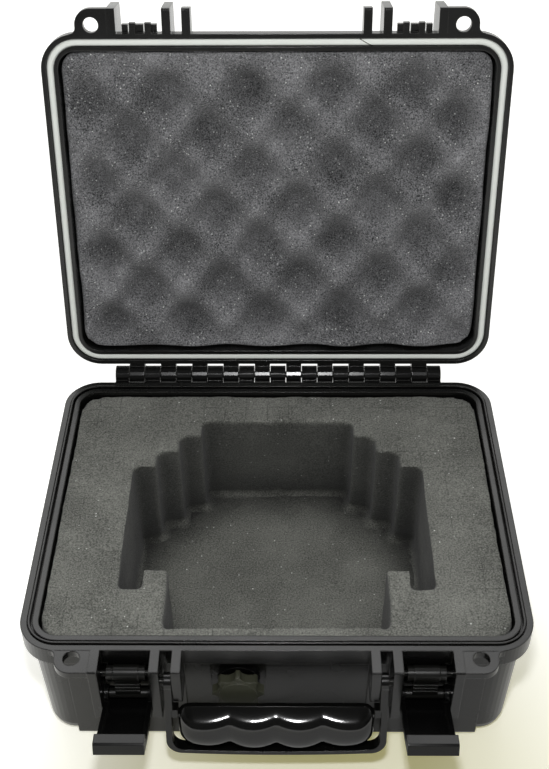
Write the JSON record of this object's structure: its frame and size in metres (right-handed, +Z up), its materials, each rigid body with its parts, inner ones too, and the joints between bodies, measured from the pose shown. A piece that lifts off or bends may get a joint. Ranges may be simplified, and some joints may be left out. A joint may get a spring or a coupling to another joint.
{
  "type": "headphone case",
  "caption": "Hard moulded carrying case standing open on a pinned hinge, with a stepped foam pocket, egg-crate lid foam, ring seal, draw latches, folding handle and purge valve.",
  "frame": {"origin": "centre of the base's underside", "axes": "+Z up, -Y out of the front, +X to the right of someone facing the front"},
  "size_m": [0.26, 0.3315, 0.3003],
  "materials": {
    "shell": "satin black moulded plastic",
    "latch": "smooth black moulded plastic",
    "grip": "soft black rubber",
    "seal": "black rubber ring",
    "gasket": "pale grey foamed rubber",
    "base_foam": "grey open-cell foam",
    "lid_foam": "dark grey open-cell foam",
    "steel": "plain steel pin"
  },
  "bodies": {
    "base": {"base_shell": "shell", "base_ear_right": "shell", "base_ear_left": "shell", "base_foam": "base_foam", "base_foam_pad": "base_foam", "hinge_pin": "steel", "valve_body": "latch", "valve_nut": "latch", "latch_base_pin_right": "steel", "latch_base_pin_left": "steel", "handle_pin_right": "steel", "handle_pin_left": "steel"},
    "lid": {"lid_shell": "shell", "lid_ear_right": "shell", "lid_ear_left": "shell", "lid_gasket": "gasket", "lid_foam": "lid_foam"},
    "handle": {"handle_frame": "shell", "handle_grip": "grip"},
    "latch_link_right": {"latch_link_right": "latch"},
    "latch_link_left": {"latch_link_left": "latch"},
    "latch_lever_right": {"latch_lever_right": "latch", "latch_lever_pin_right": "steel"},
    "latch_lever_left": {"latch_lever_left": "latch", "latch_lever_pin_left": "steel"},
    "valve_knob": {"valve_knob": "latch", "valve_seal": "seal"}
  },
  "joints": [
    {"name": "lid_hinge", "type": "hinge", "parent": "base", "child": "lid", "pos_m": [0, 0.109, 0.081], "axis": [1, 0, 0], "range_deg": [0, 101.65]},
    {"name": "handle_pivot", "type": "hinge", "parent": "base", "child": "handle", "pos_m": [0, -0.1104, 0.0682], "axis": [-1, 0, 0], "range_deg": [0, 95]},
    {"name": "latch_link_pivot_right", "type": "hinge", "parent": "base", "child": "latch_link_right", "pos_m": [0.0749, -0.106, 0.069], "axis": [1, 0, 0], "range_deg": [-6, 0]},
    {"name": "latch_lever_pivot_right", "type": "hinge", "parent": "latch_link_right", "child": "latch_lever_right", "pos_m": [0.0749, -0.106, 0.052], "axis": [-1, 0, 0], "range_deg": [0, 72]},
    {"name": "latch_link_pivot_left", "type": "hinge", "parent": "base", "child": "latch_link_left", "pos_m": [-0.0749, -0.106, 0.069], "axis": [1, 0, 0], "range_deg": [-6, 0]},
    {"name": "latch_lever_pivot_left", "type": "hinge", "parent": "latch_link_left", "child": "latch_lever_left", "pos_m": [-0.0749, -0.106, 0.052], "axis": [-1, 0, 0], "range_deg": [0, 72]},
    {"name": "valve_turn", "type": "hinge", "parent": "base", "child": "valve_knob", "pos_m": [-0.0194, -0.103, 0.051], "axis": [0, -1, 0], "range_deg": [0, 180]}
  ]
}
